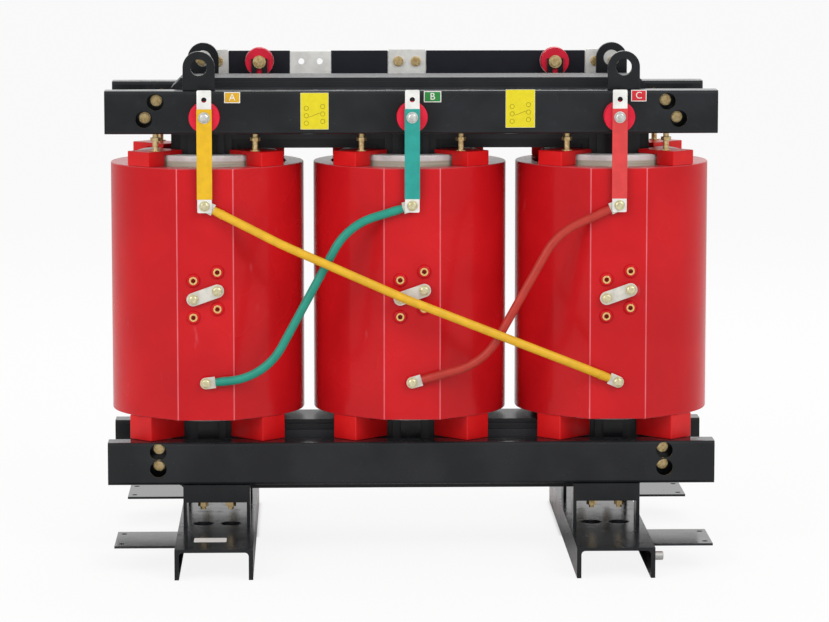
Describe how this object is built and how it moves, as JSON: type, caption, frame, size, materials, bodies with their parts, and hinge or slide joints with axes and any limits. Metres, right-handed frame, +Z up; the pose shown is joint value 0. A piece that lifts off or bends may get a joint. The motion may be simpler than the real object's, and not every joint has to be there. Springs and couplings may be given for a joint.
{
  "type": "dry type transformer",
  "caption": "Cast-resin dry type power transformer on two steel skids, with red windings on a clamped core, colour-coded delta links, lifting lugs and low-voltage bars.",
  "frame": {"origin": "on the floor, below the middle of the centre phase", "axes": "+X along the row of windings to the viewer's right from the high-voltage side, -Y towards the high-voltage side, +Z up"},
  "size_m": [1.275, 0.9, 1.059],
  "materials": {
    "frame_black": "semi-gloss black paint on steel",
    "plate_black": "gloss black paint on steel",
    "core_varnish": "black varnish over stacked laminations",
    "pad_board": "brown pressed insulating board",
    "yellow_zinc": "yellow passivated zinc plating",
    "winding_resin": "pale grey resin",
    "red_resin": "glossy red cast epoxy resin",
    "block_red": "glossy red moulded resin",
    "post_red": "glossy crimson moulded resin",
    "brass": "turned brass",
    "tinned_metal": "bright tin plating",
    "sleeve_yellow": "yellow heat-shrink sleeve",
    "sleeve_green": "green heat-shrink sleeve",
    "sleeve_red": "red heat-shrink sleeve",
    "sleeve_black": "black heat-shrink sleeve",
    "bare_steel": "bare turned steel"
  },
  "bodies": {
    "root": {"bar_sleeve_a": "sleeve_yellow", "bar_sleeve_b": "sleeve_green", "bar_sleeve_c": "sleeve_red", "cable_lugs": "tinned_metal", "clamp_tie_bolts": "yellow_zinc", "core_legs_and_lower_yoke": "core_varnish", "delta_link_green": "sleeve_green", "delta_link_red": "sleeve_red", "delta_link_yellow": "sleeve_yellow", "earth_stud": "bare_steel", "front_left_lifting_lug": "frame_black", "front_right_lifting_lug": "frame_black", "front_tie_plates": "frame_black", "hv_bars": "tinned_metal", "hv_coil_a": "red_resin", "hv_coil_b": "red_resin", "hv_coil_c": "red_resin", "hv_post_insulators": "post_red", "jacking_screws": "yellow_zinc", "left_anchor_plates": "plate_black", "left_pedestals": "frame_black", "left_skid": "frame_black", "left_spacers": "frame_black", "lower_blocks_a": "block_red", "lower_blocks_b": "block_red", "lower_blocks_c": "block_red", "lower_front_clamp": "frame_black", "lower_rear_clamp": "frame_black", "lower_yoke_pads": "pad_board", "lv_coil_a": "winding_resin", "lv_coil_b": "winding_resin", "lv_coil_c": "winding_resin", "lv_post_insulators": "post_red", "lv_terminal_a": "tinned_metal", "lv_terminal_b": "tinned_metal", "lv_terminal_c": "tinned_metal", "neutral_bar": "tinned_metal", "neutral_bolts": "yellow_zinc", "neutral_brackets": "frame_black", "neutral_leads": "tinned_metal", "neutral_sleeves": "sleeve_black", "pedestal_bolts": "yellow_zinc", "rear_left_lifting_lug": "frame_black", "rear_right_lifting_lug": "frame_black", "rear_tie_plates": "frame_black", "right_anchor_plates": "plate_black", "right_pedestals": "frame_black", "right_skid": "frame_black", "right_spacers": "frame_black", "tap_links": "tinned_metal", "terminal_bolts": "yellow_zinc", "terminal_inserts": "brass", "upper_blocks_a": "block_red", "upper_blocks_b": "block_red", "upper_blocks_c": "block_red", "upper_front_clamp": "frame_black", "upper_rear_clamp": "frame_black", "upper_yoke": "core_varnish", "upper_yoke_pads": "pad_board"}
  },
  "joints": []
}
